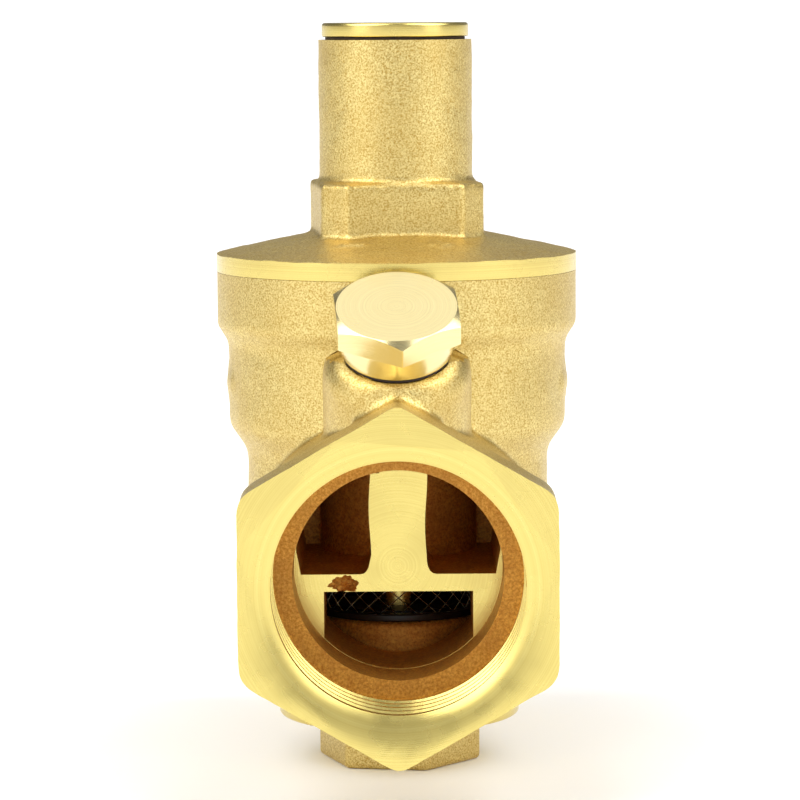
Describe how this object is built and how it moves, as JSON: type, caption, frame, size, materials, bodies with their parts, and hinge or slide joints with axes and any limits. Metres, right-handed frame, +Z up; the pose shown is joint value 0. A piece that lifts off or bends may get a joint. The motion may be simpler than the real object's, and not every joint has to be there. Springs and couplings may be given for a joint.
{
  "type": "water pressure regulator",
  "caption": "Brass water pressure regulator with a spring-loaded diaphragm valve, strainer, gauge port and two hexagonal female-threaded ends.",
  "frame": {"origin": "centre of the bottom plug's underside, on the stem's axis", "axes": "+Z up along the stem, +Y the way the water flows from the inlet to the outlet, +X to the right of the flow"},
  "size_m": [0.0366, 0.07, 0.0756],
  "materials": {
    "cast_brass": "sand-blasted forging",
    "polished_brass": "turned and polished",
    "turned_brass": "turned",
    "stainless": "turned stainless steel",
    "spring_steel": "drawn wire",
    "wire_mesh": "woven wire",
    "black_rubber": "moulded",
    "black_plastic": "moulded",
    "black_fibre": "stamped sheet"
  },
  "bodies": {
    "housing": {"body": "cast_brass", "bonnet": "cast_brass", "seat_ring": "stainless", "stem_guide": "turned_brass", "slip_ring": "stainless", "diaphragm": "black_rubber", "main_spring": "spring_steel", "return_spring": "spring_steel"},
    "valve": {"stem": "turned_brass", "disc_holder": "turned_brass", "disc_seal": "black_rubber", "disc_nut": "stainless", "backing_washer": "turned_brass", "diaphragm_plate": "turned_brass", "lock_washer": "stainless", "stem_nut": "stainless"},
    "button_slider": {"spring_button": "turned_brass"},
    "adjuster": {"adjusting_screw": "turned_brass"},
    "cap_slider": {"cap_gasket": "black_fibre"},
    "cap": {"adjuster_cap": "polished_brass"},
    "strainer_slider": {"bottom_plug_o_ring": "black_rubber", "strainer_screen": "wire_mesh", "strainer_top_ring": "black_plastic", "strainer_bottom_ring": "black_plastic"},
    "plug": {"bottom_plug": "cast_brass"},
    "gauge_slider": {"gauge_plug_seal": "black_fibre"},
    "gauge_port_plug": {"gauge_plug": "polished_brass"}
  },
  "joints": [
    {"name": "valve_lift", "type": "slide", "parent": "housing", "child": "valve", "axis": [0, 0, 1], "range_m": [0, 0.0025], "stiffness_N_per_m": 300, "deforming": ["main_spring", "return_spring", "diaphragm"]},
    {"name": "button_travel", "type": "slide", "parent": "housing", "child": "button_slider", "axis": [0, 0, 1], "range_m": [-0.0025, 0.0015]},
    {"name": "adjuster_turn", "type": "hinge", "parent": "button_slider", "child": "adjuster", "pos_m": [0, 0, 0.065], "axis": [0, 0, 1], "range_deg": [-900, 540]},
    {"name": "cap_travel", "type": "slide", "parent": "housing", "child": "cap_slider", "axis": [0, 0, 1], "range_m": [0, 0.004]},
    {"name": "cap_turn", "type": "hinge", "parent": "cap_slider", "child": "cap", "pos_m": [0, 0, 0.0742], "axis": [0, 0, 1], "range_deg": [0, 1440]},
    {"name": "plug_travel", "type": "slide", "parent": "housing", "child": "strainer_slider", "axis": [0, 0, -1], "range_m": [0, 0.0055]},
    {"name": "plug_turn", "type": "hinge", "parent": "strainer_slider", "child": "plug", "pos_m": [0, 0, 0], "axis": [0, 0, -1], "range_deg": [0, 1980]},
    {"name": "gauge_plug_travel", "type": "slide", "parent": "housing", "child": "gauge_slider", "axis": [0, -0.5, 0.866], "range_m": [0, 0.00635]},
    {"name": "gauge_plug_turn", "type": "hinge", "parent": "gauge_slider", "child": "gauge_port_plug", "pos_m": [0, -0.02335, 0.0442], "axis": [0, -0.5, 0.866], "range_deg": [0, 2520]}
  ],
  "couplings": [
    {"joint": "button_travel", "follows": "adjuster_turn", "m_per_rad": 0.00015915},
    {"joint": "cap_travel", "follows": "cap_turn", "m_per_rad": 0.00015915},
    {"joint": "plug_travel", "follows": "plug_turn", "m_per_rad": 0.00015915},
    {"joint": "gauge_plug_travel", "follows": "gauge_plug_turn", "m_per_rad": 0.00014435}
  ]
}
